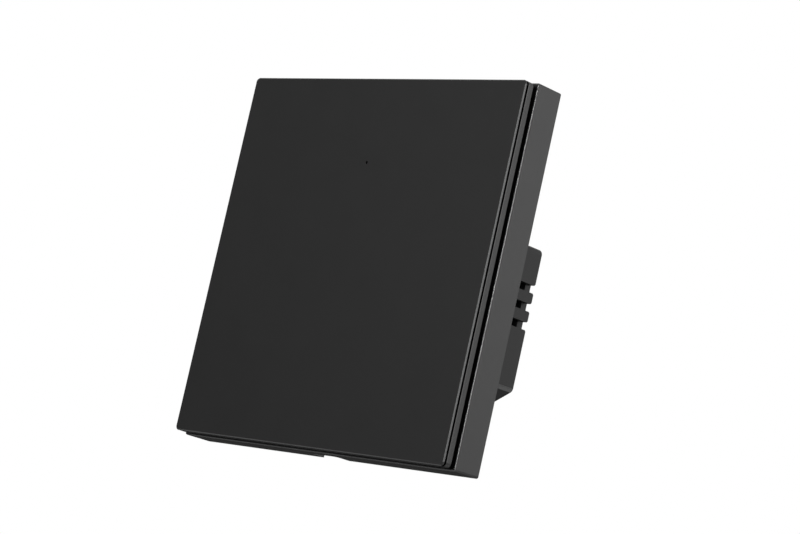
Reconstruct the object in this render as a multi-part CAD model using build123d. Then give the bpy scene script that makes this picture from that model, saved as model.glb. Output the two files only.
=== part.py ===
"""Light-touch wall switch: a full-face panel on a hinged tray, in a clip-on trim frame,
over a steel mounting plate and a rear housing that holds the mains parts and terminals.

Millimetres. X runs to the right seen from the room, Y runs into the wall and Z runs up.
The origin is at the wall plane, midway between the two fixing slots."""

import os

from build123d import *

# General values: cuts run past a face by the overrun, fixed pieces sit with the seat
# clearance and moving ones with the running clearance
overrun = 1.0
seat_clearance = 0.1
running_clearance = 0.05

# Trim frame
frame_side = 86.0
frame_depth = 7.55
frame_wall = 2.0
frame_flange = 1.8
frame_land = 4.5
frame_corner_radius = 0.5
frame_edge_round = 0.35
notch_width = 8.1
notch_depth = 4.2
notch_corner_radius = 1.2
catch_rib_height = 0.8
catch_rib_depth = 0.9

# Front panel and button tray
panel_inset = 0.4
panel_corner_radius = 1.0
panel_edge = 0.35
panel_bevel = 0.22
groove_width = 0.6
groove_inset = 0.7
pinhole_radius = 0.35
shadow_gap = 1.25
tray_rim_depth = 1.5
tray_rim_wall = 1.6
tray_face = 1.15
skirt_gap = 1.0
skirt_wall = 1.2
skirt_depth = 4.15
rib_width = 0.9
rib_depth = 1.2
rib_count = 3
nib_radius = 2.2

# Button hinge at the top, with its pins pressed into lugs of the frame
hinge_drop = 2.5
hinge_y = -5.8
hinge_cover_gap = 0.7
pin_radius = 0.75
lug_width = 2.4
lug_radius = 1.6
lug_root = 0.5
ear_width = 2.6
ear_radius = 1.6
hinge_side_gap = 0.2
pin_overhang = 0.3
bay_margin = 1.6

# Return springs and buffer pads on shelves in the lower corners of the frame
shelf_height = 11.0
shelf_front = -3.4
shelf_thickness = 1.5
spring_pad_gap = 0.4
spring_length = 4.3
spring_tip = 1.0
spring_curl = 0.6
spring_width = 4.0
spring_strip = 0.3
spring_bend = 0.8
spring_stake_side = 1.4
spring_stake_height = 0.6
spring_end_gap = 0.03
pad_side = 3.0
pad_height = 0.9

# Mounting plate with its fixing slots and spring catches
plate_gap = 2.0
plate_thickness = 1.2
plate_corner_radius = 3.0
fixing_edge = 9.0
fixing_slot_length = 8.0
fixing_slot_width = 4.4
window_width = 30.0
window_height = 14.0
window_z = -15.0
window_corner_radius = 2.0
catch_corner_gap = 17.0
catch_width = 6.0
catch_strip = 0.4
catch_foot = 5.0
catch_rise = 3.4
catch_bead = 0.55

# Inner cover and its screws
cover_side_gap = 0.5
cover_bottom = -25.0
cover_skirt_gap = 6.3
cover_depth = 6.0
cover_wall = 1.2
cover_face = 1.0
cover_corner_radius = 2.0
light_hole_radius = 1.6
screw_wall_gap = 2.3
screw_low_z = -14.5
screw_high_z = 8.0
screw_radius = 1.25
screw_head_radius = 2.3
screw_head_height = 1.5
screw_pocket = 1.9
screw_reach = 8.0
screw_pillar_side = 5.8
stake_inset = 3.5
stake_rise = 3.0
stake_side = 1.3
stake_post_side = 3.0

# Control board and what it carries
control_pillar_gap = 0.8
control_bottom_gap = 2.5
control_top_gap = 2.0
lamp_drop = 5.1
control_thickness = 1.0
control_gap = 1.0
switch_drop = 10.0
switch_body_side = 6.0
switch_body_height = 2.6
switch_well_depth = 1.2
plunger_radius = 1.75
plunger_in_well = 0.7
plunger_length = 2.8
nib_gap = 0.06
led_width = 1.6
led_height = 0.8
guide_tip_radius = 0.9
guide_flange_radius = 2.2
guide_flange = 1.2
module_width = 16.0
module_height = 18.0
module_lamp_gap = 3.9
module_board = 0.8
module_can_width = 12.5
module_can_height = 11.5
module_can_depth = 1.8
module_can_margin = 1.0
header_pins = 8
pin_pitch = 2.54
header_rise = 7.5
header_width = 2.5
header_base = 2.0
header_pin_side = 0.6
header_engagement = 1.0
socket_length = 10.8

# Rear housing: outline, walls, slots and openings
housing_width = 50.0
housing_depth = 25.1
housing_wall = 1.5
housing_back = 1.8
side_bottom = -19.5
side_top = 13.5
housing_bottom = -25.0
housing_top = 24.0
foot_width = 31.6
neck_width = 36.4
corner_round = 1.3
back_round = 0.3
vent_count = 3
vent_height = 1.8
vent_pitch = 4.27
vent_middle_z = -0.15
vent_start = 14.0
vent_flare = 0.5
boss_side = 5.2
boss_length = 12.0
post_side = 2.6
post_height = 1.4
post_x = 8.0
sheet_thickness = 0.3
sheet_margin = 0.3

# Power board and the mains parts on it
power_thickness = 1.6
power_margin = 0.5
power_top = 11.4
relay_width = 18.4
relay_height = 10.2
relay_depth = 14.6
relay_x = -9.0
relay_z = 3.4
relay_edge = 0.4
core_width = 12.0
core_height = 11.0
core_depth = 10.5
core_leg = 2.6
bobbin_radius = 4.6
transformer_x = 7.8
transformer_z = -4.2
bulk_radius = 3.15
bulk_depth = 10.8
bulk_x = 17.4
bulk_z = 2.0
bulk_count = 2
bulk_step = 7.0
film_width = 13.0
film_height = 5.0
film_depth = 11.0
film_x = -6.5
film_z = -8.5
film_edge = 0.5
varistor_radius = 4.0
varistor_thickness = 3.2
varistor_x = -20.4
varistor_z = -6.4
varistor_lift = 1.2
fuse_radius = 1.8
fuse_depth = 8.5
fuse_x = -15.6
fuse_z = -17.6
fuse_cap = 1.5
fuse_step = 0.2
bridge_width = 6.5
bridge_height = 4.6
bridge_depth = 2.4
bridge_x = -7.6
bridge_z = -20.6
inductor_radius = 3.0
inductor_waist = 2.2
inductor_depth = 8.0
inductor_flange = 1.2
inductor_x = 14.0
inductor_z = -19.6
lead_side = 0.6
lead_pitch = 2.5

# Terminals: rising cages on captive screws, wires go in from the top
way_count = 4
way_drop = 5.5
block_end = 0.6
cell_partition = 1.4
cell_length = 5.6
block_wall = 1.2
shelf_wall = 1.2
cage_side_gap = 0.2
cage_length = 5.0
cage_side = 1.0
cage_bottom = 1.2
cage_nut = 1.6
cage_travel = 3.0
cage_gap = 0.1
cage_edge = 0.3
terminal_screw_radius = 1.75
terminal_head_radius = 2.5
terminal_head_height = 2.0
terminal_head_recess = 1.1
terminal_drive_width = 0.8
terminal_drive_depth = 1.0
access_gap = 0.2
tail_thickness = 0.8
tail_leg_width = 1.6
tail_leg_z = 9.4
tail_stub = 0.9
wire_hole_gap = 0.2

# Sides worked out from the sizes above: frame, panel, skirt, plate, cover and board
frame_half = frame_side / 2
inner_half = frame_half - frame_wall
opening_half = frame_half - frame_land
panel_side = frame_side - 2 * panel_inset
skirt_half = opening_half - skirt_gap
skirt_side = 2 * skirt_half
plate_half = inner_half - plate_gap
plate_side = 2 * plate_half
fixing_spacing = plate_side - 2 * fixing_edge
cover_width = housing_width - 2 * cover_side_gap
screw_x = housing_width / 2 - housing_wall - screw_wall_gap
control_width = 2 * screw_x - screw_pillar_side - 2 * control_pillar_gap
stake_x = control_width / 2 - stake_inset

# Places worked out from the sizes above: hinge, springs, cover, board and what it carries
hinge_x = cover_width / 2 + hinge_cover_gap + ear_width
hinge_z = opening_half - hinge_drop
catch_z = plate_half - catch_corner_gap
spring_x = (cover_width / 2 + skirt_half - skirt_wall) / 2
shelf_left = (cover_width / 2 + spring_x - spring_width / 2) / 2
spring_low_z = (skirt_wall + pad_side) / 2 + spring_pad_gap - skirt_half
spring_high_z = spring_low_z + spring_length
spring_stake_z = (spring_low_z + spring_high_z - spring_bend) / 2
cover_top = skirt_half - skirt_wall - cover_skirt_gap
control_bottom = cover_bottom + control_bottom_gap
control_top = cover_top - control_top_gap
lamp_z = control_top - lamp_drop
module_bottom = lamp_z - module_lamp_gap - module_height
switch_z = module_bottom - switch_drop
header_z = control_bottom + header_rise
stake_low_z = control_bottom + stake_rise
stake_high_z = control_top - stake_rise

# Depths worked out from the sizes above, from the wall towards the room and back
plate_front = -plate_thickness
frame_front = -frame_depth
rim_back = frame_front - shadow_gap
tray_front = rim_back - tray_rim_depth
tray_back = tray_front + tray_face
panel_step = tray_front - groove_width
panel_front = panel_step - panel_edge
cover_front = plate_front - cover_depth
control_back = plate_front - control_gap
control_front = control_back - control_thickness
switch_front = control_front - switch_body_height
plunger_back = switch_front + plunger_in_well
plunger_front = plunger_back - plunger_length
housing_floor = housing_depth - housing_back
power_back = housing_floor - post_height
power_front = power_back - power_thickness
socket_front = power_front - socket_length
header_reach = socket_front + header_engagement

# Terminal ways: widths shared out over the block, then depths from the screw head down
block_half = neck_width / 2 - housing_wall - seat_clearance
way_pitch = 2 * (block_half - block_end) / way_count
way_z = housing_top - way_drop
cell_width = way_pitch - cell_partition
cage_width = cell_width - 2 * cage_side_gap
wire_hole_width = cage_width - 2 * cage_side - 2 * wire_hole_gap
head_back = housing_depth - terminal_head_recess
head_seat = head_back - terminal_head_height
shelf_inner = head_seat - shelf_wall
tail_back = shelf_inner - cage_gap - cage_nut - cage_travel - cage_gap
tail_front = tail_back - tail_thickness
cage_inner = tail_front - cage_travel - cage_gap
cage_foot = cage_inner - cage_bottom
block_floor = cage_foot - access_gap
block_front = block_floor - block_wall
way_places = [(way - (way_count - 1) / 2) * way_pitch for way in range(way_count)]

os.makedirs("parts", exist_ok=True)


def prism(outline, near, far):
    """An outline drawn in X and Z, carried along Y from the depth near to the depth far."""
    return extrude(Plane.XZ.offset(-near) * outline, amount=near - far)


def block(left, right, near, far, low, high):
    """A box between its six faces, given along X, then Y, then Z."""
    corner = (Align.MIN, Align.MIN, Align.MIN)
    return Pos(left, near, low) * Box(right - left, far - near, high - low, align=corner)


def rod(x, z, radius, near, far):
    """A round bar along Y."""
    return prism(Pos(x, z) * Circle(radius), near, far)


def cross_rod(y, z, radius, left, right):
    """A round bar along X."""
    return Pos((left + right) / 2, y, z) * Rot(0, 90, 0) * Cylinder(radius, right - left)


def ring(side, wall, corner_radius, near, far):
    """A square ring about the Y axis."""
    outline = RectangleRounded(side, side, corner_radius)
    hole = Rectangle(side - 2 * wall, side - 2 * wall)
    return prism(outline - hole, near, far)


def both_sides(shape):
    """The shape and its mirror image on the other side of the middle."""
    return shape + mirror(shape, about=Plane.YZ)


def join(shapes):
    """One shape from a list of shapes."""
    total = shapes[0]
    for shape in shapes[1:]:
        total = total + shape
    return total


def cover_screw_places():
    """The four places of the cover's screws, as X and Z."""
    return [(side * screw_x, z) for side in (-1, 1) for z in (screw_low_z, screw_high_z)]


def stake_places():
    """The four places where the control board is staked to the cover."""
    return [(side * stake_x, z) for side in (-1, 1) for z in (stake_low_z, stake_high_z)]


def housing_outline():
    """Outside of the rear housing: a body with a narrower neck above for the terminals,
    and two faces that slope in to a narrower foot."""
    half = housing_width / 2
    neck = neck_width / 2
    foot = foot_width / 2
    right = [
        (foot, housing_bottom), (half, side_bottom),
        (half, side_top), (neck, side_top),
        (neck, housing_top),
    ]
    left = [(-x, z) for x, z in reversed(right)]
    return make_face(Polyline(*right, *left, close=True))


def front_panel():
    """Thin face plate: a bevelled edge, and a step behind it that leaves the dark groove."""
    plate = prism(RectangleRounded(panel_side, panel_side, panel_corner_radius), panel_front, panel_step)
    plate = chamfer(plate.faces().sort_by(Axis.Y)[0].edges(), panel_bevel)
    step_side = panel_side - 2 * groove_inset
    plate = plate + prism(RectangleRounded(step_side, step_side, panel_corner_radius), panel_step, tray_front)
    return plate - rod(0, lamp_z, pinhole_radius, panel_front - overrun, tray_front + overrun)


def tray_ribs():
    """A grid of stiffening ribs inside the skirt, kept clear of the lamp and the nib."""
    inner = skirt_side - 2 * skirt_wall
    pitch = inner / (rib_count + 1)
    bars = []
    for number in range(rib_count):
        place = (number - (rib_count - 1) / 2) * pitch
        bars.append(Pos(place, 0) * Rectangle(rib_width, inner))
        bars.append(Pos(0, place) * Rectangle(inner, rib_width))
    return prism(join(bars), tray_back, tray_back + rib_depth)


def hinge_ear():
    """Ear of the tray on the right-hand pin."""
    left = hinge_x - ear_width
    arm = block(left, hinge_x, tray_back, hinge_y, hinge_z - ear_radius, hinge_z + ear_radius)
    return arm + cross_rod(hinge_y, hinge_z, ear_radius, left, hinge_x)


def button_tray():
    """Moulded tray: face, side rim, skirt, ribs, nib for the push switch and hinge ears."""
    rounded = RectangleRounded(panel_side, panel_side, panel_corner_radius)
    tray = prism(rounded, tray_front, tray_back)
    tray = tray + ring(panel_side, tray_rim_wall, panel_corner_radius, tray_front, rim_back)
    tray = tray + ring(skirt_side, skirt_wall, panel_corner_radius, tray_back, tray_back + skirt_depth)
    tray = tray + tray_ribs()
    well = guide_flange_radius + seat_clearance
    tray = tray - rod(0, lamp_z, well, tray_back, tray_back + rib_depth)
    tip_hole = guide_tip_radius + seat_clearance
    tray = tray - rod(0, lamp_z, tip_hole, tray_front - overrun, tray_back + overrun)
    tray = tray + rod(0, switch_z, nib_radius, tray_back, plunger_front - nib_gap)
    bay_left = hinge_x - ear_width - bay_margin
    bay_right = hinge_x + hinge_side_gap + lug_width + bay_margin
    bay_low = hinge_z - lug_radius - bay_margin
    bay = block(bay_left, bay_right, tray_back, overrun, bay_low, skirt_half + overrun)
    tray = tray - both_sides(bay)
    tray = tray + both_sides(hinge_ear())
    bore_left = hinge_x - ear_width - overrun
    bore = cross_rod(hinge_y, hinge_z, pin_radius + running_clearance, bore_left, hinge_x + overrun)
    return tray - both_sides(bore)


def light_guide():
    """Clear guide glued behind the pinhole: a tip in the tray's hole and a flange."""
    tip = rod(0, lamp_z, guide_tip_radius, tray_front, tray_back)
    return tip + rod(0, lamp_z, guide_flange_radius, tray_back, tray_back + guide_flange)


def frame_lug():
    """Lug of the frame that holds the right-hand hinge pin."""
    left = hinge_x + hinge_side_gap
    right = left + lug_width
    root = block(left, right, hinge_y - lug_radius, hinge_y + lug_radius, hinge_z, opening_half + lug_root)
    return root + cross_rod(hinge_y, hinge_z, lug_radius, left, right)


def catch_depths():
    """Depths of the frame's catch rib: its front face lies just behind the catch bead."""
    bead_back = plate_front - catch_rise + 2 * catch_bead
    rib_front = bead_back + running_clearance
    return rib_front, rib_front + catch_rib_depth


def spring_stake(gap):
    """Square outline of the right-hand stake, larger by the gap all round."""
    side = spring_stake_side + 2 * gap
    return Pos(spring_x, spring_stake_z) * Rectangle(side, side)


def trim_frame():
    """Frame against the wall: outer wall, front flange, spring shelves, hinge lugs, catch
    ribs and the pry notch in the bottom wall."""
    frame = ring(frame_side, frame_land, frame_corner_radius, frame_front, 0)
    frame = fillet(frame.faces().sort_by(Axis.Y)[0].outer_wire().edges(), frame_edge_round)
    cavity = Rectangle(2 * inner_half, 2 * inner_half)
    frame = frame - prism(cavity, frame_front + frame_flange, overrun)
    in_wall = inner_half + frame_wall / 2
    shelf = block(
        shelf_left, in_wall,
        shelf_front, shelf_front + shelf_thickness,
        -in_wall, shelf_height - inner_half,
    )
    stake = prism(spring_stake(0), shelf_front - spring_stake_height, shelf_front)
    rib_front, rib_back = catch_depths()
    rib_low = catch_z - catch_width / 2
    rib_high = rib_low + catch_width
    rib = block(inner_half - catch_rib_height, in_wall, rib_front, rib_back, rib_low, rib_high)
    ribs = rib + mirror(rib, about=Plane.XY)
    frame = frame + both_sides(shelf) + both_sides(stake) + both_sides(ribs) + both_sides(frame_lug())
    pin_seat = cross_rod(hinge_y, hinge_z, pin_radius, -frame_half, frame_half)
    keep = block(-inner_half, inner_half, frame_front, 0, hinge_z - lug_radius, opening_half)
    frame = frame - (pin_seat & keep)
    notch = prism(Rectangle(notch_width, 2 * frame_wall + notch_depth), -notch_depth, overrun)
    notch = fillet(notch.edges().filter_by(Axis.Z).group_by(Axis.Y)[0], notch_corner_radius)
    return frame - Pos(0, 0, -frame_half) * notch


def hinge_pins():
    """Steel pins, each through a lug and its ear."""
    left = hinge_x - ear_width - pin_overhang
    right = hinge_x + hinge_side_gap + lug_width + pin_overhang
    return both_sides(cross_rod(hinge_y, hinge_z, pin_radius, left, right))


def return_springs():
    """Two bent leaf springs: a foot staked to the frame's shelf, one round bend, and an arm
    whose curled tip pushes on the tray."""
    half = spring_strip / 2
    foot_y = shelf_front - half
    tip_y = tray_back + half + spring_end_gap
    route = FilletPolyline(
        (foot_y, spring_low_z),
        (foot_y, spring_high_z),
        (tip_y, spring_low_z + spring_tip),
        (tip_y + spring_curl, spring_low_z),
        radius=spring_bend,
    )
    strip = Plane.YZ * trace(route, spring_strip)
    leaf = Pos(spring_x, 0, 0) * extrude(strip, amount=spring_width / 2, both=True)
    hole = prism(spring_stake(running_clearance), foot_y - spring_strip, shelf_front + overrun)
    return both_sides(leaf - hole)


def buffer_pads():
    """Soft pads on the shelves that stop the skirt."""
    place = skirt_half - skirt_wall / 2
    pad = Pos(place, -place) * Rectangle(pad_side, pad_side)
    return both_sides(prism(pad, shelf_front - pad_height, shelf_front))


def mounting_plate():
    """Sheet steel plate with the fixing slots, a window for the pins and screw holes."""
    outline = RectangleRounded(plate_side, plate_side, plate_corner_radius)
    slot = SlotOverall(fixing_slot_length, fixing_slot_width)
    for side in (-1, 1):
        outline = outline - Pos(side * fixing_spacing / 2, 0) * slot
    window = RectangleRounded(window_width, window_height, window_corner_radius)
    outline = outline - Pos(0, window_z) * window
    for x, z in cover_screw_places():
        outline = outline - Pos(x, z) * Circle(screw_radius + seat_clearance)
    return prism(outline, plate_front, 0)


def frame_catches():
    """Four bent spring strips on the plate: a foot, a leg and a round bead that holds the
    frame's rib."""
    leg_left = plate_half
    leg_right = leg_left + catch_strip
    tip = plate_front - catch_rise
    low = catch_z - catch_width / 2
    high = low + catch_width
    foot = block(leg_left - catch_foot, leg_right, plate_front - catch_strip, plate_front, low, high)
    leg = block(leg_left, leg_right, tip, plate_front, low, high)
    bead = Pos(leg_right, tip + catch_bead, (low + high) / 2) * Cylinder(catch_bead, catch_width)
    bead = bead & block(leg_left, leg_right + catch_bead, tip, plate_front, low, high)
    catch = foot + leg + bead
    return both_sides(catch + mirror(catch, about=Plane.XY))


def inner_cover():
    """Moulded cover over the control board, with a hole for the push switch and one for
    the lamp, pillars for the screws and posts that stake the board."""
    middle = (cover_bottom + cover_top) / 2
    height = cover_top - cover_bottom
    outline = Pos(0, middle) * RectangleRounded(cover_width, height, cover_corner_radius)
    hollow = Pos(0, middle) * Rectangle(cover_width - 2 * cover_wall, height - 2 * cover_wall)
    cover = prism(outline, cover_front, plate_front)
    cover = cover - prism(hollow, cover_front + cover_face, overrun)
    pocket_side = 2 * (screw_head_radius + seat_clearance)
    pocket = Rectangle(pocket_side, pocket_side)
    pocket_back = cover_front + screw_pocket
    for x, z in cover_screw_places():
        pillar = Pos(x, z) * Rectangle(screw_pillar_side, screw_pillar_side)
        cover = cover + prism(pillar, cover_front, plate_front)
        cover = cover - prism(Pos(x, z) * pocket, cover_front - overrun, pocket_back)
        cover = cover - rod(x, z, screw_radius + seat_clearance, cover_front, overrun)
    for x, z in stake_places():
        post = Pos(x, z) * Rectangle(stake_post_side, stake_post_side)
        peg = Pos(x, z) * Rectangle(stake_side, stake_side)
        cover = cover + prism(post, cover_front + cover_face, control_front)
        cover = cover + prism(peg, control_front, control_back + seat_clearance)
    cover = cover - rod(0, lamp_z, light_hole_radius, cover_front - overrun, overrun)
    return cover - rod(0, switch_z, plunger_radius + seat_clearance, cover_front - overrun, overrun)


def cover_screws():
    """Four pan-head screws from the front of the cover into the housing's bosses."""
    head_front = cover_front + screw_pocket - screw_head_height
    head_back = cover_front + screw_pocket
    screws = []
    for x, z in cover_screw_places():
        screw = rod(x, z, screw_head_radius, head_front, head_back)
        screw = screw + rod(x, z, screw_radius, head_back, screw_reach)
        screws.append(screw)
    return join(screws)


def control_board():
    """Board behind the cover, with its stake holes and header holes."""
    middle = (control_bottom + control_top) / 2
    outline = Pos(0, middle) * Rectangle(control_width, control_top - control_bottom)
    hole_side = stake_side + 2 * running_clearance
    for x, z in stake_places():
        outline = outline - Pos(x, z) * Rectangle(hole_side, hole_side)
    return prism(outline, control_front, control_back)


def wireless_module():
    """Small radio board with a shield can, its aerial end left bare."""
    half = module_width / 2
    can_half = module_can_width / 2
    can_low = module_bottom + module_can_margin
    front = control_front - module_board
    board = block(-half, half, front, control_front, module_bottom, module_bottom + module_height)
    can = block(-can_half, can_half, front - module_can_depth, front, can_low, can_low + module_can_height)
    return board + can


def tact_switch():
    """Square push switch body with a round well for its plunger."""
    half = switch_body_side / 2
    body = block(-half, half, switch_front, control_front, switch_z - half, switch_z + half)
    well_radius = plunger_radius + running_clearance
    return body - rod(0, switch_z, well_radius, switch_front - overrun, switch_front + switch_well_depth)


def tact_plunger():
    """Round stem of the push switch."""
    return rod(0, switch_z, plunger_radius, plunger_front, plunger_back)


def status_led():
    """Surface lamp on the control board, in line with the light guide."""
    half = led_width / 2
    return block(-half, half, control_front - led_height, control_front, lamp_z - half, lamp_z + half)


def header_places():
    """X places of the pins between the two boards."""
    return [(pin - (header_pins - 1) / 2) * pin_pitch for pin in range(header_pins)]


def board_header():
    """Row of pins in a moulded strip, on the back of the control board."""
    length = header_pins * pin_pitch
    strip = Pos(0, header_z) * Rectangle(length, header_width)
    header = prism(strip, control_back, control_back + header_base)
    for x in header_places():
        pin = Pos(x, header_z) * Rectangle(header_pin_side, header_pin_side)
        header = header + prism(pin, control_back, header_reach)
    return header


def board_socket():
    """Tall socket on the power board that takes the header's pins."""
    length = header_pins * pin_pitch
    socket = prism(Pos(0, header_z) * Rectangle(length, header_width), socket_front, power_front)
    side = header_pin_side + 2 * seat_clearance
    for x in header_places():
        hole = Pos(x, header_z) * Rectangle(side, side)
        socket = socket - prism(hole, socket_front - overrun, header_reach + seat_clearance)
    return socket


def rear_housing():
    """Moulded box behind the wall plane: thin walls, sloped lower faces, vent slots that
    run out at the back edge, screw bosses, board posts, wire holes and screw holes."""
    outline = housing_outline()
    neck = neck_width / 2 + corner_round
    outer_corners = [v for v in outline.vertices() if abs(v.Y - side_top) > corner_round or abs(v.X) > neck]
    outline = fillet(outer_corners, corner_round)
    shell = prism(outline, 0, housing_depth)
    shell = fillet(shell.faces().sort_by(Axis.Y)[-1].edges(), back_round)
    hollow = offset(housing_outline(), amount=-housing_wall, kind=Kind.INTERSECTION)
    shell = shell - prism(hollow, -overrun, housing_floor)
    for number in range(vent_count):
        shell = shell - both_sides(vent_slot(number))
    for x, z in cover_screw_places():
        boss = prism(Pos(x, z) * Rectangle(boss_side, boss_side), 0, boss_length)
        shell = shell + boss - rod(x, z, screw_radius, -overrun, screw_reach + seat_clearance)
    for x, z in power_post_places():
        shell = shell + prism(Pos(x, z) * Rectangle(post_side, post_side), power_back, housing_floor)
    access = terminal_head_radius + access_gap
    for x in way_places:
        shell = shell - rod(x, way_z, access, housing_floor - overrun, housing_depth + overrun)
        shell = shell - wire_hole(x, housing_top - housing_wall - overrun, housing_top + overrun)
    return shell


def vent_slot(number):
    """One slot through the right-hand wall, its mouth widened where it meets the back."""
    low = vent_middle_z + (number - (vent_count - 1) / 2) * vent_pitch - vent_height / 2
    high = low + vent_height
    mouth = housing_depth - vent_flare
    end = housing_depth + overrun
    below = [(vent_start, low), (mouth, low), (housing_depth, low - vent_flare), (end, low - vent_flare)]
    above = [(end, high + vent_flare), (housing_depth, high + vent_flare), (mouth, high), (vent_start, high)]
    outline = make_face(Polyline(*below, *above, close=True))
    wall_inner = housing_width / 2 - housing_wall
    return Pos(wall_inner, 0, 0) * extrude(Plane.YZ * outline, amount=housing_wall + overrun)


def wire_hole(x, low, high):
    """Upright passage for one wire, as wide as the gap between the cage and the tail."""
    half = wire_hole_width / 2
    return block(x - half, x + half, cage_inner, tail_back, low, high)


def power_post_places():
    """Posts on the housing's back wall that the power board stands on."""
    return [(side * post_x, z) for side in (-1, 1) for z in (side_bottom, power_top - post_side / 2)]


def insulating_sheet():
    """Thin sheet between the mounting plate and the mains parts."""
    outline = offset(housing_outline(), amount=-housing_wall - sheet_margin, kind=Kind.INTERSECTION)
    boss_cut = boss_side + 2 * sheet_margin + overrun
    for x, z in cover_screw_places():
        outline = outline - Pos(x, z) * Rectangle(boss_cut, boss_cut)
    outline = outline - Pos(0, window_z) * Rectangle(window_width, window_height)
    return prism(outline, 0, sheet_thickness)


def power_board():
    """Mains board, cut to the housing's inside below the terminals."""
    outline = offset(housing_outline(), amount=-housing_wall - power_margin, kind=Kind.INTERSECTION)
    below = Rectangle(housing_width, power_top - housing_bottom, align=(Align.CENTER, Align.MAX))
    outline = outline & (Pos(0, power_top) * below)
    for x in way_places:
        side = tail_leg_width + 2 * seat_clearance
        outline = outline - Pos(x, tail_leg_z) * Rectangle(side, tail_thickness + 2 * seat_clearance)
    return prism(outline, power_front, power_back)


def relay():
    """Power relay: a case with a bevelled lid."""
    left = relay_x - relay_width / 2
    low = relay_z - relay_height / 2
    case = block(left, left + relay_width, power_front - relay_depth, power_front, low, low + relay_height)
    lid = case.faces().sort_by(Axis.Y)[0]
    return chamfer(lid.edges(), relay_edge)


def transformer():
    """Small transformer: a split core around a flanged winding."""
    left = transformer_x - core_width / 2
    low = transformer_z - core_height / 2
    front = power_front - core_depth
    core = block(left, left + core_width, front, power_front, low, low + core_height)
    window_front = front + core_leg
    window_back = power_front - core_leg
    gap = block(
        left + core_leg, left + core_width - core_leg,
        window_front, window_back,
        low - overrun, low + core_height + overrun,
    )
    winding = rod(transformer_x, transformer_z, bobbin_radius, window_front, window_back)
    return core - gap + (winding & core)


def bulk_capacitors():
    """Two electrolytic cans."""
    cans = []
    for number in range(bulk_count):
        z = bulk_z - number * bulk_step
        cans.append(rod(bulk_x, z, bulk_radius, power_front - bulk_depth, power_front))
    return join(cans)


def film_capacitor():
    """Box film capacitor with softened edges."""
    left = film_x - film_width / 2
    low = film_z - film_height / 2
    case = block(left, left + film_width, power_front - film_depth, power_front, low, low + film_height)
    return chamfer(case.faces().sort_by(Axis.Y)[0].edges(), film_edge)


def varistor():
    """Disc varistor standing on two leads."""
    disc_y = power_front - varistor_lift - varistor_radius
    half = varistor_thickness / 2
    disc = cross_rod(disc_y, varistor_z, varistor_radius, varistor_x - half, varistor_x + half)
    for step in (-1, 1):
        z = varistor_z + step * lead_pitch / 2
        lead = Pos(varistor_x, z) * Rectangle(lead_side, lead_side)
        disc = disc + prism(lead, disc_y, power_front)
    return disc


def fuse():
    """Upright fuse with its end caps."""
    near = power_front - fuse_depth
    body = rod(fuse_x, fuse_z, fuse_radius - fuse_step, near, power_front)
    body = body + rod(fuse_x, fuse_z, fuse_radius, near, near + fuse_cap)
    return body + rod(fuse_x, fuse_z, fuse_radius, power_front - fuse_cap, power_front)


def bridge_rectifier():
    """Flat rectifier block."""
    left = bridge_x - bridge_width / 2
    low = bridge_z - bridge_height / 2
    return block(left, left + bridge_width, power_front - bridge_depth, power_front, low, low + bridge_height)


def filter_inductor():
    """Drum-shaped inductor: two flanges and a waist of wire."""
    near = power_front - inductor_depth
    drum = rod(inductor_x, inductor_z, inductor_waist, near, power_front)
    drum = drum + rod(inductor_x, inductor_z, inductor_radius, near, near + inductor_flange)
    return drum + rod(inductor_x, inductor_z, inductor_radius, power_front - inductor_flange, power_front)


def terminal_block():
    """Moulded block with one cell for each way: a shelf under each screw head, a passage
    for the wire from the top and a slot for the tail."""
    high = housing_top - housing_wall - seat_clearance
    low = way_z - cell_length / 2 - block_wall
    body = block(-block_half, block_half, block_front, housing_floor, low, high)
    for x in way_places:
        cell = Pos(x, way_z) * Rectangle(cell_width, cell_length)
        bore_radius = terminal_screw_radius + running_clearance
        head_hole_radius = terminal_head_radius + access_gap
        body = body - prism(cell, block_floor, shelf_inner)
        body = body - rod(x, way_z, bore_radius, block_floor, housing_floor + overrun)
        body = body - rod(x, way_z, head_hole_radius, head_seat, housing_floor + overrun)
        body = body - wire_hole(x, way_z, high + overrun)
        tail_half = tail_width() / 2 + running_clearance
        gap = block(
            x - tail_half, x + tail_half,
            tail_front - running_clearance, tail_back + running_clearance,
            low - overrun, way_z,
        )
        body = body - gap
    return body


def tail_width():
    """Width of a tail inside its cage."""
    return cage_width - 2 * cage_side - 2 * seat_clearance


def terminal_tails():
    """Four bars that the wires are clamped to, each bent down to the power board."""
    half = tail_width() / 2
    leg_half = tail_leg_width / 2
    leg_low = tail_leg_z - tail_thickness / 2
    tails = []
    for x in way_places:
        bar = block(x - half, x + half, tail_front, tail_back, leg_low, way_z + cage_length / 2)
        leg = block(
            x - leg_half, x + leg_half,
            tail_front, power_back + tail_stub,
            leg_low, leg_low + tail_thickness,
        )
        tails.append(bar + leg)
    return join(tails)


def terminal_screw(x):
    """Captive terminal screw: slotted head on the block's shelf, tip at the tail."""
    screw = rod(x, way_z, terminal_head_radius, head_seat, head_back)
    screw = screw + rod(x, way_z, terminal_screw_radius, tail_back + running_clearance, head_seat)
    slot = Pos(x, way_z) * Rectangle(2 * terminal_head_radius + overrun, terminal_drive_width)
    return screw - prism(slot, head_back - terminal_drive_depth, head_back + overrun)


def terminal_clamp(x):
    """Rising cage: a closed frame whose nut end rides on the screw and whose foot lifts
    the wire against the tail."""
    left = x - cage_width / 2
    low = way_z - cage_length / 2
    top = tail_back + cage_gap + cage_nut
    cage = block(left, left + cage_width, cage_foot, top, low, low + cage_length)
    cage = chamfer(cage.edges().filter_by(Axis.Z), cage_edge)
    inside = block(
        left + cage_side, left + cage_width - cage_side,
        cage_inner, tail_back + cage_gap,
        low - overrun, low + cage_length + overrun,
    )
    thread = rod(x, way_z, terminal_screw_radius + running_clearance, tail_back, top + overrun)
    return cage - inside - thread


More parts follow.
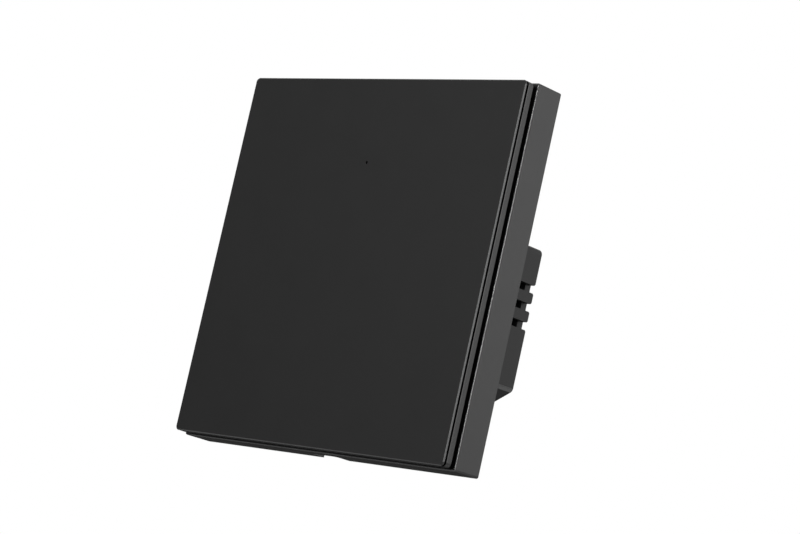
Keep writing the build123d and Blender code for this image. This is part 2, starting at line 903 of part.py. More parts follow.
pieces = {
    "front_panel": front_panel,
    "button_tray": button_tray,
    "light_guide": light_guide,
    "trim_frame": trim_frame,
    "hinge_pins": hinge_pins,
    "return_springs": return_springs,
    "buffer_pads": buffer_pads,
    "mounting_plate": mounting_plate,
    "frame_catches": frame_catches,
    "inner_cover": inner_cover,
    "cover_screws": cover_screws,
    "control_board": control_board,
    "wireless_module": wireless_module,
    "tact_switch": tact_switch,
    "tact_plunger": tact_plunger,
    "status_led": status_led,
    "board_header": board_header,
    "board_socket": board_socket,
    "rear_housing": rear_housing,
    "insulating_sheet": insulating_sheet,
    "power_board": power_board,
    "relay": relay,
    "transformer": transformer,
    "bulk_capacitors": bulk_capacitors,
    "film_capacitor": film_capacitor,
    "varistor": varistor,
    "fuse": fuse,
    "bridge_rectifier": bridge_rectifier,
    "filter_inductor": filter_inductor,
    "terminal_block": terminal_block,
    "terminal_tails": terminal_tails,
}

for name, make in pieces.items():
    export_step(make(), f"parts/{name}.step")

for number, place in enumerate(way_places, start=1):
    export_step(terminal_screw(place), f"parts/terminal_screw_{number}.step")
    export_step(terminal_clamp(place), f"parts/terminal_clamp_{number}.step")
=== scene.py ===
# %% [markdown]
# # A light-touch wall switch, dressed and lit
#
# The switch is a square black face on a hinged tray, a trim frame, and a housing that sits
# inside the wall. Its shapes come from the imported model, so this lesson gives each piece
# the finish of the real one, adds the small turned and wound pieces that the model keeps
# plain, and then sets up the camera and the studio.

# %% Load the model
import bmesh
import bpy
import numpy as np
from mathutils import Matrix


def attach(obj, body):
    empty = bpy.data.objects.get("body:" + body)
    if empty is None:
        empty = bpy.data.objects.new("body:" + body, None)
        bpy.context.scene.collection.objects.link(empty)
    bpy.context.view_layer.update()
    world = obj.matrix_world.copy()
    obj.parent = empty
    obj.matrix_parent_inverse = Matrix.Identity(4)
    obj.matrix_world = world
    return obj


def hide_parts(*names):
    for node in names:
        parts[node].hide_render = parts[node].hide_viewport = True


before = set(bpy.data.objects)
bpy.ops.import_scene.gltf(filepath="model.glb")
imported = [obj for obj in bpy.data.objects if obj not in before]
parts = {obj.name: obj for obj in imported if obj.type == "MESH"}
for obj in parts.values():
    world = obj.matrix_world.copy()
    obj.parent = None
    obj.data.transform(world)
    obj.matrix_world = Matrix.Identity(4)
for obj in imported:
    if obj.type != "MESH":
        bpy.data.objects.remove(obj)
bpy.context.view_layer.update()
print("pieces in the model:", len(parts))

# %% [markdown]
# ## Camera
#
# The photograph looks at the switch from its right and from a little below, through a long
# lens, with the camera tipped to one side. A camera can be stored as a matrix, but four
# plain numbers say more: where it aims, how far round and how far up it stands, and how
# far it is tipped. The three axes of the camera follow from them.

# %% Camera
MM = 0.001
PHOTO_WIDTH_PX = 800
SENSOR_MM = 36.0
FOCAL_PX = 2831.8
AIM_MM = (8.99, -2.71, 1.32)
AZIMUTH_DEG = 44.74
ELEVATION_DEG = -8.675
ROLL_DEG = 12.58
DISTANCE_MM = 631.9


def camera_axes(azimuth, elevation, roll):
    """Right, up and back of a camera. Back points from the aim to the camera: it is turned
    round Z by the azimuth from -Y, and raised by the elevation. Right is level and square
    to back, up is back times right, and the roll turns both about back."""
    turn, rise, tip = np.radians([azimuth, elevation, roll])
    back = np.array([np.sin(turn) * np.cos(rise), -np.cos(turn) * np.cos(rise), np.sin(rise)])
    level = np.array([np.cos(turn), np.sin(turn), 0.0])
    upright = np.cross(back, level)
    right = np.cos(tip) * level + np.sin(tip) * upright
    return right, np.cross(back, right), back


right, up, back = camera_axes(AZIMUTH_DEG, ELEVATION_DEG, ROLL_DEG)
camera = bpy.data.objects.new("camera", bpy.data.cameras.new("camera"))
bpy.context.scene.collection.objects.link(camera)
placed = np.eye(4)
placed[:3, 0], placed[:3, 1], placed[:3, 2] = right, up, back
placed[:3, 3] = (np.array(AIM_MM) + DISTANCE_MM * back) * MM
camera.matrix_world = placed.T.tolist()
camera.data.sensor_width = SENSOR_MM
camera.data.lens = FOCAL_PX / PHOTO_WIDTH_PX * SENSOR_MM
camera.data.clip_start = 0.01
bpy.context.scene.camera = camera
print("camera at", np.round(placed[:3, 3], 3), "lens", round(camera.data.lens, 1))

# %% [markdown]
# ## Helpers for materials
#
# Blender mixes light in linear values, and a colour given in hex is an sRGB value, so one
# function turns hex colours to linear. A second one adds a shader node with its settings and its
# links, which keeps a material as short as a recipe. Arithmetic between values is done by Math
# nodes, whose settings have short names here. A Mix node has sockets for every kind of value:
# numbers go in at 2 and 3 and come out at 0, and when it is set to COLOURS they go in at 6 and 7
# and come out at 2. Patterns read the Object coordinates, in metres, so a noise texture whose
# grain is to be g millimetres wide has a scale of 1000 / g.

# %% Colour, node and scale helpers
def linear(hex_colour):
    """sRGB hex to linear RGBA: below 0.04045 a straight line, above it the power 2.4."""
    value = np.array([int(hex_colour[i:i + 2], 16) for i in (1, 3, 5)]) / 255
    low, high = value / 12.92, ((value + 0.055) / 1.055) ** 2.4
    return (*np.where(value <= 0.04045, low, high).tolist(), 1.0)


TIMES = {"operation": "MULTIPLY"}
OVER = {"operation": "DIVIDE"}
LARGER = {"operation": "MAXIMUM"}
SIZE = {"operation": "ABSOLUTE"}
ABOVE = {"operation": "GREATER_THAN"}
UNDER = {"operation": "LESS_THAN"}
WITHIN = {"operation": "COMPARE"}
COLOURS = {"data_type": "RGBA"}


def add(tree, kind, settings=None, inputs=None):
    """Adds one node. Settings are its own properties. Inputs are its sockets, by name or
    number: each is linked where it is given a socket, or a node for its first output, and
    set where it is given a value."""
    node = tree.nodes.new(kind)
    for name, value in (settings or {}).items():
        setattr(node, name, value)
    for name, value in (inputs or {}).items():
        if isinstance(value, bpy.types.Node):
            tree.links.new(value.outputs[0], node.inputs[name])
        elif isinstance(value, bpy.types.NodeSocket):
            tree.links.new(value, node.inputs[name])
        else:
            node.inputs[name].default_value = value
    return node


def grain(size_mm):
    """Scale of a texture whose features are about this many millimetres wide."""
    return 1 / (size_mm * MM)


def new_material(name):
    """An empty node material, its tree and its object coordinates."""
    material = bpy.data.materials.new(name)
    material.use_nodes = True
    tree = material.node_tree
    tree.nodes.clear()
    place = add(tree, "ShaderNodeTexCoord").outputs["Object"]
    return material, tree, place


print("mid grey #808080 is", round(linear("#808080")[0], 3), "linear")

# %% [markdown]
# ## Zones of a piece
#
# The face of a moulded piece, its edges and its hidden steps don't look alike. Fingers and the
# polished rim of the mould leave the edges glossier, so a rim zone gets a lower roughness. It
# also gets a lighter shade, which is a painted highlight. A step that faces a narrow gap gets a
# near black shade, which is painted shade. A zone is a mask, 1 inside and 0 outside, worked out
# from where a point lies on the piece. Max(|x|, |z|) grows in squares from the middle of the
# front, as the outline does, so one comparison picks out a rim of even width. A round zone about
# an edge picks out a rounded edge, which gets the same painted highlight. A second material on
# some faces could do the same, but a mask needs no faces that end where the zone does.

# %% Zones
FROM_MIDDLE_MM = -1.0  # below every distance, so the middle itself is inside
PAST_EDGE_MM = 50.0  # past the outline of every piece


def square_zone(inner_mm, outer_mm, near_mm, far_mm):
    """Where max(|x|, |z|) lies between two distances and the depth between two depths. A
    value lies between two bounds when it is within half their distance of their middle."""
    def mask(tree, place):
        x, depth, z = add(tree, "ShaderNodeSeparateXYZ", inputs={0: place}).outputs
        aside = add(tree, "ShaderNodeMath", SIZE, {0: x})
        up_or_down = add(tree, "ShaderNodeMath", SIZE, {0: z})
        distance = add(tree, "ShaderNodeMath", LARGER, {0: aside, 1: up_or_down})
        in_ring = add(tree, "ShaderNodeMath", WITHIN, {
            0: distance, 1: (inner_mm + outer_mm) / 2 * MM, 2: (outer_mm - inner_mm) / 2 * MM})
        in_depth = add(tree, "ShaderNodeMath", WITHIN, {
            0: depth, 1: (near_mm + far_mm) / 2 * MM, 2: (far_mm - near_mm) / 2 * MM})
        return add(tree, "ShaderNodeMath", TIMES, {0: in_ring, 1: in_depth})
    return mask


def corner_zone(x_mm, z_mm, radius_mm):
    """Within a radius of two edges that run front to back, one on each side: the distance
    from (|x|, z) to the edge is under the radius."""
    def mask(tree, place):
        x, _, z = add(tree, "ShaderNodeSeparateXYZ", inputs={0: place}).outputs
        aside = add(tree, "ShaderNodeMath", SIZE, {0: x})
        folded = add(tree, "ShaderNodeCombineXYZ", inputs={0: aside, 2: z})
        gap = add(tree, "ShaderNodeVectorMath", {"operation": "DISTANCE"}, {
            0: folded, 1: (x_mm * MM, 0.0, z_mm * MM)})
        return add(tree, "ShaderNodeMath", UNDER, {0: gap.outputs["Value"], 1: radius_mm * MM})
    return mask


print("zones: a square ring between two depths, and a round along an edge")

# %% [markdown]
# ## Moulded black plastic
#
# The tray and the frame are injection-moulded ABS. Its surface copies the mould, which is
# spark-eroded: a fine even grain with no gloss, and here and there a faint cloud where the
# melt cooled unevenly. One recipe serves each black piece, with its own shade, roughness
# and grain: fine noise drives the bump, broad noise moves the shade and the roughness a
# little, and each zone then brings its own shade and roughness. The real grain is well under
# a tenth of a millimetre and would not show, so it is drawn two or three times as wide.

# %% Recipe for moulded plastic
CLOUD_MM = 9.0
ROUGHNESS_SWING = 0.02
GRAIN_DEPTH = 0.2  # over its width
PLASTIC_IOR = 1.46


def moulded_plastic(name, shade, cloud_shade, roughness, specular, grain_mm, bump, zones=()):
    """Colour: mix of two near shades by cloudy noise. Roughness: its value plus or minus
    the swing by the same noise. Normal: bump from fine noise. Each zone is a mask with the
    shade and the roughness inside it, and whether that is bare metal."""
    material, tree, place = new_material(name)
    cloud = add(tree, "ShaderNodeTexNoise", inputs={
        "Vector": place, "Scale": grain(CLOUD_MM), "Detail": 3.0}).outputs["Fac"]
    fine = add(tree, "ShaderNodeTexNoise", inputs={
        "Vector": place, "Scale": grain(grain_mm), "Detail": 4.0})
    colour = add(tree, "ShaderNodeMix", COLOURS, {
        0: cloud, 6: linear(shade), 7: linear(cloud_shade)}).outputs[2]
    rough = add(tree, "ShaderNodeMapRange", inputs={
        "Value": cloud,
        "To Min": roughness - ROUGHNESS_SWING, "To Max": roughness + ROUGHNESS_SWING})
    metal = 0.0
    for mask, zone_shade, zone_roughness, bare in zones:
        inside = mask(tree, place)
        metal = add(tree, "ShaderNodeMath", LARGER, {0: metal, 1: inside}) if bare else metal
        colour = add(tree, "ShaderNodeMix", COLOURS, {
            0: inside, 6: colour, 7: linear(zone_shade)}).outputs[2]
        rough = add(tree, "ShaderNodeMix", inputs={0: inside, 2: rough, 3: zone_roughness})
    raised = add(tree, "ShaderNodeBump", inputs={
        "Height": fine.outputs["Fac"], "Strength": bump, "Distance": grain_mm * MM * GRAIN_DEPTH})
    shader = add(tree, "ShaderNodeBsdfPrincipled", inputs={
        "Base Color": colour, "Roughness": rough, "Metallic": metal,
        "Normal": raised, "IOR": PLASTIC_IOR, "Specular IOR Level": specular})
    add(tree, "ShaderNodeOutputMaterial", inputs={"Surface": shader})
    return material


print("cloud", CLOUD_MM, "mm wide, roughness swing", ROUGHNESS_SWING)

# %% [markdown]
# ### The black outer pieces
#
# The real face, tray, frame and rear box are four mouldings in one black. The face has a soft
# coat and the least grain, the tray and the frame are plain ABS, and the rear box is
# polycarbonate from a rougher mould. Each line gives the shade, its cloudy partner, the
# roughness, the specular level, the grain in millimetres and the strength of the bump. The zones
# below it are the glossier rim, with a painted highlight in a lighter shade, and the near black
# floor of the gap behind the rim, which is painted shade. The rear box has a glossier round low
# on each side, with a painted highlight in a lighter shade.

# %% Black outer pieces
# Zones of the outer pieces that are not bare metal paint light and shade into the plastic: a
# lighter shade is a painted highlight, a near black one is painted shade.
PAINTED_SHADING, BARE_METAL = False, True
# Coated polycarbonate: the darkest and smoothest, with a faint even sheen.
panel_coat = moulded_plastic(
    "coated_polycarbonate", "#151515", "#171717", 0.32, 0.28, 0.12, 0.12, [
        # Bevel rim: glossier, with a lighter shade that is a painted highlight. Step behind the
        # plate: near black, painted shade in the groove.
        (square_zone(42.38, PAST_EDGE_MM, -11.4, -10.95), "#2a2a2a", 0.2, PAINTED_SHADING),
        (square_zone(FROM_MIDDLE_MM, 43.0, -10.95, -10.0), "#050505", 0.3, PAINTED_SHADING)])
# Spark-grained ABS, for tray and frame: matt, and a little paler.
tray_abs = moulded_plastic(
    "spark_grained_abs_tray", "#1d1d1d", "#212121", 0.45, 0.35, 0.16, 0.2, [
        # Front edge of the rim: glossier, with a lighter shade that is a painted highlight. Front
        # face: near black, painted shade in the groove.
        (square_zone(42.55, PAST_EDGE_MM, -10.45, -10.1), "#262626", 0.25, PAINTED_SHADING),
        (square_zone(FROM_MIDDLE_MM, 43.0, -10.4, -10.28), "#050505", 0.3, PAINTED_SHADING)])
frame_abs = moulded_plastic(
    "spark_grained_abs_frame", "#1d1d1d", "#212121", 0.45, 0.35, 0.16, 0.2, [
        # Rounded front edge: glossier, with a lighter shade that is a painted highlight. Front
        # face inside it: near black, painted shade in the shadow gap.
        (square_zone(42.64, PAST_EDGE_MM, -7.6, -7.2), "#303030", 0.24, PAINTED_SHADING),
        (square_zone(FROM_MIDDLE_MM, 42.64, -7.6, -7.45), "#050505", 0.3, PAINTED_SHADING)])
# Plain polycarbonate: the most matt of them, with the coarsest grain.
housing_pc = moulded_plastic(
    "moulded_polycarbonate_housing", "#191919", "#1d1d1d", 0.5, 0.22, 0.25, 0.3, [
        # Round low on each side: glossier, with a lighter shade that is a painted highlight.
        (corner_zone(25.0, -19.5, 0.65), "#525252", 0.2, PAINTED_SHADING)])
print("made", [finish.name for finish in (panel_coat, tray_abs, frame_abs, housing_pc)])

# %% [markdown]
# ### Plastics and other moulded parts inside
#
# The parts on the boards come in the colours of their trade: a dark blue relay, an ochre
# film capacitor, a blue varistor dipped in epoxy, a brown fuse tube with bare end caps. The
# columns are the same as above. A zone between two depths gives the caps, the pins and the
# shield can their bare metal.

# %% Inner parts
# PBT with glass in it: near black and matt.
connector_pbt = moulded_plastic("moulded_pbt", "#141414", "#1a1a1a", 0.5, 0.4, 0.2, 0.25)
# Pressed and fired ferrite: dull dark grey, with the grain of a powder.
ferrite_black = moulded_plastic("sintered_ferrite", "#232323", "#2d2d2d", 0.7, 0.3, 0.3, 0.5)
# Moulded rubber: the softest highlight of all.
pad_rubber = moulded_plastic("soft_rubber", "#161616", "#1d1d1d", 0.8, 0.3, 0.3, 0.4)
# Pressed fibre: matt and brownish grey, like stiff paper.
fibre_sheet = moulded_plastic("pressed_fibre_sheet", "#4b4740", "#57534a", 0.75, 0.3, 0.5, 0.4)
# ABS from a smooth mould: deep blue with an even gloss.
relay_abs = moulded_plastic("relay_case_abs", "#16243f", "#1b2a48", 0.35, 0.5, 0.3, 0.1)
# A case filled with epoxy: smooth and ochre.
film_epoxy = moulded_plastic("film_capacitor_case", "#b58a2a", "#c2973a", 0.4, 0.5, 0.3, 0.1)
# Dipped epoxy: a glossy blue skin, slightly wavy.
varistor_dip = moulded_plastic("dipped_epoxy", "#1f4f8c", "#275a9a", 0.35, 0.5, 0.8, 0.3)
# A tube with pressed-on caps: smooth and brown, with bright metal at both ends.
fuse_body = moulded_plastic("capped_fuse_tube", "#7a5a3a", "#8a6842", 0.4, 0.5, 0.4, 0.1, [
    (square_zone(FROM_MIDDLE_MM, PAST_EDGE_MM, 11.7, 13.3), "#bdbcb8", 0.25, BARE_METAL),
    (square_zone(FROM_MIDDLE_MM, PAST_EDGE_MM, 18.8, 20.4), "#bdbcb8", 0.25, BARE_METAL)])
# A PBT strip with pins through it: matt black, and pale gold on the pins.
pin_header = moulded_plastic("pbt_strip_with_pins", "#141414", "#1a1a1a", 0.5, 0.4, 0.2, 0.25, [
    (square_zone(FROM_MIDDLE_MM, PAST_EDGE_MM, -0.19, 10.6), "#c8a65c", 0.25, BARE_METAL)])
# A small board under a soldered can: dark green mask, and bright tin on the can.
radio_module = moulded_plastic(
    "masked_board_with_can", "#10261b", "#143022", 0.35, 0.5, 0.5, 0.1, [
        (square_zone(FROM_MIDDLE_MM, PAST_EDGE_MM, -5.9, -4.01), "#b9bbbb", 0.3, BARE_METAL)])
# Shrunk PVC: blue black, smooth and tight.
sleeve_pvc = moulded_plastic("shrunk_pvc_sleeve", "#15171c", "#1b1e25", 0.3, 0.5, 0.6, 0.1)
# Moulded acetal: milky, with a waxy sheen.
stem_pom = moulded_plastic("moulded_pom", "#d8d6cc", "#e2e0d8", 0.4, 0.5, 0.2, 0.1)
# Cast resin: warm white and glossy.
lamp_resin = moulded_plastic("cast_lamp_resin", "#e6e1cf", "#efecdf", 0.25, 0.5, 0.5, 0.05)
print("with bare metal in zones:", fuse_body.name, pin_header.name, radio_module.name)

# %% [markdown]
# ## Metals
#
# The mounting plate is cold-rolled sheet, zinc plated and passivated: pale, slightly blue,
# with long faint rolling lines. Springs and pins are bright steel, the terminal bars are
# brass. A metal's colour sits in its base colour with metallic at 1, so each metal is one
# shade, one roughness, and a noise drawn out into lines along X. Real rolling lines are
# finer than a render shows, so they are drawn 0.2 to 0.5 mm wide.

# %% Metals
METAL_CLOUD_MM = 6.0
METAL_SWING = 0.08
LINE_DEPTH_MM = 0.02


def rolled_metal(name, shade, cloud_shade, roughness, line_mm, stretch, bump):
    """Colour: mix of two near shades by cloudy noise. Roughness and bump: noise whose X is
    divided by the stretch, which draws it out along X. A stretch below 1 crowds it there
    instead, as the grinding marks round a pin do."""
    material, tree, place = new_material(name)
    squeezed = add(tree, "ShaderNodeMapping", inputs={
        "Vector": place, "Scale": (1 / stretch, 1.0, 1.0)})
    lines = add(tree, "ShaderNodeTexNoise", inputs={
        "Vector": squeezed, "Scale": grain(line_mm), "Detail": 3.0}).outputs["Fac"]
    cloud = add(tree, "ShaderNodeTexNoise", inputs={
        "Vector": place, "Scale": grain(METAL_CLOUD_MM), "Detail": 2.0}).outputs["Fac"]
    colour = add(tree, "ShaderNodeMix", COLOURS, {
        0: cloud, 6: linear(shade), 7: linear(cloud_shade)})
    rough = add(tree, "ShaderNodeMapRange", inputs={
        "Value": lines, "To Min": roughness - METAL_SWING, "To Max": roughness + METAL_SWING})
    raised = add(tree, "ShaderNodeBump", inputs={
        "Height": lines, "Strength": bump, "Distance": LINE_DEPTH_MM * MM})
    shader = add(tree, "ShaderNodeBsdfPrincipled", inputs={
        "Base Color": colour.outputs[2], "Roughness": rough, "Normal": raised, "Metallic": 1.0})
    add(tree, "ShaderNodeOutputMaterial", inputs={"Surface": shader})
    return material


# Cold rolled, then zinc plated: pale and slightly blue, with long faint lines.
zinc_sheet = rolled_metal("zinc_plated_sheet", "#b9bdc2", "#c6c9cc", 0.38, 0.4, 12.0, 0.3)
# Hard rolled strip: greyer than the plate, with a crisper shine.
spring_strip = rolled_metal("rolled_spring_steel", "#a9a9ac", "#b5b5b8", 0.28, 0.2, 8.0, 0.2)
# Ground bar: the brightest, with fine marks round it.
ground_pin = rolled_metal("ground_steel", "#c0c0c2", "#cbcbcd", 0.18, 0.2, 0.2, 0.1)
# Headed, rolled and plated: as pale as the plate, with an even grain.
plated_screw = rolled_metal("zinc_plated_screw", "#bcbcb8", "#c8c8c5", 0.3, 0.3, 1.0, 0.2)
# Stamped brass strip: yellow, with short lines.
brass_strip = rolled_metal("stamped_brass", "#c9a35c", "#d4b06a", 0.3, 0.2, 6.0, 0.2)
# Tinned sheet: a soft grey shine with broad faint marks.
tinned_can = rolled_metal("tinned_sheet", "#b7b9b9", "#c4c5c4", 0.3, 0.5, 3.0, 0.2)
print("made", [finish.name for finish in (zinc_sheet, spring_strip, brass_strip)])

# %% [markdown]
# ## Circuit board
#
# A board is glass fibre and epoxy under green solder mask. Copper below the mask shows as
# slightly lighter lines and areas, and plated holes join the two sides. Square Voronoi
# cells of a few millimetres share the board out: some hold tracks that run across, some
# tracks that run up, and some a solid pour. Drawing each track would cost far more and
# show no more, since the boards are behind covers.

# %% Circuit board
AREA_MM = 5.0
TRACK_PITCH_MM = 0.7
HOLE_SPACING_MM = 2.4
COPPER_STEP_MM = 0.04
TRACK_SHARE = 0.4
DOT_SHARE = 0.14
RARE = 0.7


def tracks(tree, coordinate):
    """1 on the first share of every pitch along a coordinate, 0 on the rest of it."""
    pitches = add(tree, "ShaderNodeMath", OVER, {0: coordinate, 1: TRACK_PITCH_MM * MM})
    part_way = add(tree, "ShaderNodeMath", {"operation": "FRACT"}, {0: pitches})
    return add(tree, "ShaderNodeMath", UNDER, {0: part_way, 1: TRACK_SHARE})


def circuit_board():
    """Colour: mask green, lighter over the copper. In each area one draw from 0 to 1 picks
    tracks up or across, and a rare second draw pours it full. A gold dot, whose radius is a
    share of the hole spacing, sits where a rare draw puts one. Bump: the copper's step."""
    material, tree, place = new_material("solder_mask_board")
    across, _, up_board = add(tree, "ShaderNodeSeparateXYZ", inputs={0: place}).outputs
    areas = add(tree, "ShaderNodeTexVoronoi", {"distance": "CHEBYCHEV"}, {
        "Vector": place, "Scale": grain(AREA_MM)})
    draw = add(tree, "ShaderNodeSeparateColor", inputs={0: areas.outputs["Color"]}).outputs
    upright = add(tree, "ShaderNodeMath", ABOVE, {0: draw[0], 1: 0.5})
    lines = add(tree, "ShaderNodeMix", inputs={
        0: upright, 2: tracks(tree, up_board), 3: tracks(tree, across)})
    poured = add(tree, "ShaderNodeMath", ABOVE, {0: draw[1], 1: RARE})
    copper = add(tree, "ShaderNodeMath", LARGER, {0: lines, 1: poured})
    holes = add(tree, "ShaderNodeTexVoronoi", inputs={
        "Vector": place, "Scale": grain(HOLE_SPACING_MM)})
    hole_draw = add(tree, "ShaderNodeSeparateColor", inputs={0: holes.outputs["Color"]})
    near = add(tree, "ShaderNodeMath", UNDER, {0: holes.outputs["Distance"], 1: DOT_SHARE})
    drilled = add(tree, "ShaderNodeMath", ABOVE, {0: hole_draw, 1: RARE})
    plated = add(tree, "ShaderNodeMath", TIMES, {0: near, 1: drilled})
    mask = add(tree, "ShaderNodeMix", COLOURS, {
        0: copper, 6: linear("#0b3822"), 7: linear("#14512f")})
    colour = add(tree, "ShaderNodeMix", COLOURS, {
        0: plated, 6: mask.outputs[2], 7: linear("#c2b078")})
    raised = add(tree, "ShaderNodeBump", inputs={
        "Height": copper, "Strength": 0.4, "Distance": COPPER_STEP_MM * MM})
    shader = add(tree, "ShaderNodeBsdfPrincipled", inputs={
        "Base Color": colour.outputs[2], "Roughness": 0.35, "Normal": raised, "IOR": 1.5})
    add(tree, "ShaderNodeOutputMaterial", inputs={"Surface": shader})
    return material


board_mask = circuit_board()
print("made", board_mask.name)

# %% [markdown]
# ## Light guide
#
# The lamp sits well behind the face, so a clear acrylic pipe brings its light to the
# pinhole. Acrylic is water clear, with a faint frost from the mould. Fully clear plastic
# can't be told from the hole it fills, so a tenth of its body is left white.

# %% Clear guide
def clear_guide():
    """Clear moulded acrylic: fine noise moves its roughness from 0.05 to 0.2."""
    material, tree, place = new_material("clear_acrylic")
    frost = add(tree, "ShaderNodeTexNoise", inputs={"Vector": place, "Scale": grain(0.4)})
    rough = add(tree, "ShaderNodeMapRange", inputs={
        "Value": frost.outputs["Fac"], "To Min": 0.05, "To Max": 0.2})
    shader = add(tree, "ShaderNodeBsdfPrincipled", inputs={
        "Base Color": linear("#f4f6f8"), "Roughness": rough, "IOR": 1.49,
        "Transmission Weight": 0.9})
    add(tree, "ShaderNodeOutputMaterial", inputs={"Surface": shader})
    return material


guide_acrylic = clear_guide()
print("made", guide_acrylic.name)

# %% [markdown]
# ## Which piece has which finish
#
# Each piece of the model gets its finish from one table, so that a change of material is
# one word.

# %% Dress the pieces
finishes = {
    panel_coat: ["front_panel"],
    tray_abs: ["button_tray"],
    frame_abs: ["trim_frame"],
    housing_pc: ["rear_housing", "inner_cover", "terminal_block"],
    connector_pbt: ["tact_switch", "board_socket", "bridge_rectifier"],
    pin_header: ["board_header"],
    radio_module: ["wireless_module"],
    ferrite_black: ["transformer", "filter_inductor"],
    pad_rubber: ["buffer_pads"],
    fibre_sheet: ["insulating_sheet"],
    relay_abs: ["relay"],
    film_epoxy: ["film_capacitor"],
    varistor_dip: ["varistor"],
    fuse_body: ["fuse"],
    sleeve_pvc: ["bulk_capacitors"],
    stem_pom: ["tact_plunger"],
    lamp_resin: ["status_led"],
    zinc_sheet: ["mounting_plate"],
    spring_strip: ["frame_catches", "return_springs"],
    ground_pin: ["hinge_pins"],
    plated_screw: ["cover_screws"] + [f"terminal_screw_{n}" for n in range(1, 5)],
    tinned_can: [f"terminal_clamp_{n}" for n in range(1, 5)],
    brass_strip: ["terminal_tails"],
    board_mask: ["control_board", "power_board"],
    guide_acrylic: ["light_guide"],
}
for material, names in finishes.items():
    for name in names:
        parts[name].data.materials.clear()
        parts[name].data.materials.append(material)
bare = sorted(set(parts) - {name for names in finishes.values() for name in names})
print("pieces with no finish:", bare)

# %% [markdown]
# ## Small pieces as surfaces
#
# The model keeps its smallest parts plain, as collision shapes like them. Screws, windings
# and chips could be modelled by hand, but each is a surface of two parameters: a profile
# carried round an axis, a wave wound along a cylinder, or a ball whose sine and cosine are
# raised to a small power. So each is worked out as one array of points, in rows and
# columns, and one helper turns such arrays into a piece.

# %% From grids to a piece
def make_piece(name, grids, material, body, replaced=(), along=None):
    """One piece from grids of points in millimetres, rows by columns. The columns run round
    and close on themselves, and a first or last row that shrinks to a point closes an end.
    Doubled points are merged, and the faces turned outwards. Along is a value for each
    point, kept as an attribute for the material."""
    corners, faces, start = [], [], 0
    for grid in grids:
        rows, columns = grid.shape[:2]
        number = start + np.arange(rows * columns).reshape(rows, columns)
        beside = np.roll(number, -1, axis=1)
        quads = np.stack([number[:-1], beside[:-1], beside[1:], number[1:]], axis=-1)
        faces.append(quads.reshape(-1, 4))
        corners.append(grid.reshape(-1, 3))
        start += rows * columns
    mesh = bpy.data.meshes.new(name)
    mesh.from_pydata((np.concatenate(corners) * MM).tolist(), [], np.concatenate(faces).tolist())
    if along is not None:
        mesh.attributes.new("along", "FLOAT", "POINT").data.foreach_set("value", np.ravel(along))
    work = bmesh.new()
    work.from_mesh(mesh)
    bmesh.ops.remove_doubles(work, verts=work.verts, dist=1e-7)
    bmesh.ops.recalc_face_normals(work, faces=work.faces)
    work.to_mesh(mesh)
    work.free()
    mesh.shade_smooth()
    mesh.set_sharp_from_angle(angle=np.radians(40))
    mesh.materials.append(material)
    piece = bpy.data.objects.new(name, mesh)
    bpy.context.scene.collection.objects.link(piece)
    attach(piece, body)
    if replaced:
        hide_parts(*replaced)
    print(name, "has", len(mesh.polygons), "faces")


def around(x, z, radius, depth, turn):
    """Points round the axis along Y through x and z: x plus the radius times the cosine of
    the turn, the depth, and z plus the radius times its sine."""
    return np.stack([x + radius * np.cos(turn), depth + 0 * turn, z + radius * np.sin(turn)], -1)


def turned(rows, x, z, columns):
    """A profile of rows (radius, depth) carried round the axis through x and z."""
    radius, depth = np.array(rows, float).T[:, :, None]
    return around(x, z, radius, depth, np.linspace(0, 2 * np.pi, columns, endpoint=False))


def soft_box(middle, half, rows=7, columns=16, power=0.22):
    """A box with soft edges, as a superquadric: in each of x, y and z, the half size times
    cosines and sines of two angles, each raised to a small power with its sign kept."""
    def soft(value):
        return np.sign(value) * np.abs(value) ** power
    rise = np.linspace(-np.pi / 2, np.pi / 2, rows)[:, None]
    turn = np.linspace(0, 2 * np.pi, columns, endpoint=False)
    level = soft(np.cos(rise))
    unit = [level * soft(np.cos(turn)), soft(np.sin(rise)) + 0 * turn, level * soft(np.sin(turn))]
    return np.array(middle) + np.stack(unit, axis=-1) * np.array(half)


print("a unit soft box spans", np.ptp(soft_box((0, 0, 0), (1, 1, 1)), axis=(0, 1)).round(2))

# %% [markdown]
# ## Screws
#
# Four pan-head screws with a cross recess hold the inner cover, and a slotted cheese-head
# screw with a metric thread works each terminal. A screw is one grid from the middle of
# its head to its tip. The columns crowd round each arm of the drive, so that its walls stand
# upright, and the thread is a triangle wave of the radius. The wave depends on the depth
# plus the turn, which makes it wind right-handed, so a screw that is turned clockwise draws
# its clamp towards the head.

# %% Screw surface
LAND_COLUMNS = 6
TO_FRONT, TO_BACK = -1, 1


def driven(x, z, top, facing, rows, arms, half_width, pitch=1.0):
    """Each row is (radius, distance below the top, depth of the drive, height of the
    thread). An arm of the drive has three columns, out to the arcsine of its half width
    over the radius, and the land up to the next arm has the others. Radius less height
    times (1 - wave), where the wave is |2 f - 1| of the fraction f of depth / pitch +
    turn / 2 pi."""
    radius, below, drive, height = np.array(rows, float).T[:, :, None]
    sector = 2 * np.pi / arms
    edge = np.arcsin(np.clip(half_width / np.maximum(radius, 1e-6), 0, 1)).clip(max=sector / 2)
    floor = np.array([-1.0, 0.0, 1.0]) * edge
    land = edge + np.linspace(0, 1, LAND_COLUMNS) * (sector - 2 * edge)
    one_arm = np.concatenate([floor, land], 1)
    turn = np.concatenate([one_arm + arm * sector for arm in range(arms)], 1)
    driven_down = np.tile([1.0] * 3 + [0.0] * LAND_COLUMNS, arms)
    depth = top - facing * (below + drive * driven_down)
    wave = np.abs(2 * ((depth / pitch + turn / (2 * np.pi)) % 1) - 1)
    return around(x, z, radius - height * (1 - wave), depth, turn)


